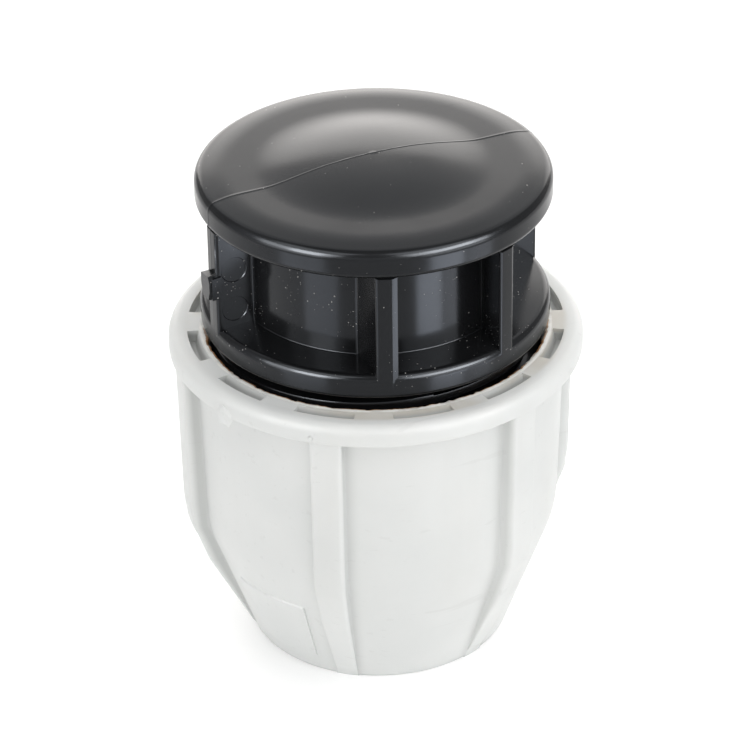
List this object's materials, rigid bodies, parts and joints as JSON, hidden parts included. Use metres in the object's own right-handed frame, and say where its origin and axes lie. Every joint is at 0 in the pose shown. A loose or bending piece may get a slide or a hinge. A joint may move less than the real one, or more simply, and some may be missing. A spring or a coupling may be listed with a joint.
{
  "type": "pipe plug",
  "caption": "Compression end plug for plastic pipe: a black ribbed plug body screws into a pale grey tapered nut that holds a split grip ring, a bush and an O-ring.",
  "frame": {"origin": "centre of the nut's foot, where the pipe goes in", "axes": "+Z along the thread's axis, from the pipe's entry to the plug's domed head; -Y is the way the front half of the plug's mould opens, so the head's two parting-plane ribs lie along X"},
  "size_m": [0.064, 0.064, 0.0825],
  "materials": {
    "plug": "glossy",
    "nut": "satin",
    "ring": "satin",
    "bush": "satin",
    "seal": "matte"
  },
  "bodies": {
    "nut": {"nut": "nut", "grip_ring": "ring"},
    "seal": {"pressing_bush": "bush", "o_ring": "seal"},
    "plug": {"plug_body": "plug"}
  },
  "joints": [
    {"name": "thread_travel", "type": "slide", "parent": "nut", "child": "seal", "axis": [0, 0, 1], "range_m": [0, 0.021]},
    {"name": "plug_turn", "type": "hinge", "parent": "seal", "child": "plug", "pos_m": [0, 0, 0.0242], "axis": [0, 0, 1], "range_deg": [0, 1260]}
  ],
  "couplings": [
    {"joint": "thread_travel", "follows": "plug_turn", "m_per_rad": 0.00095493}
  ]
}
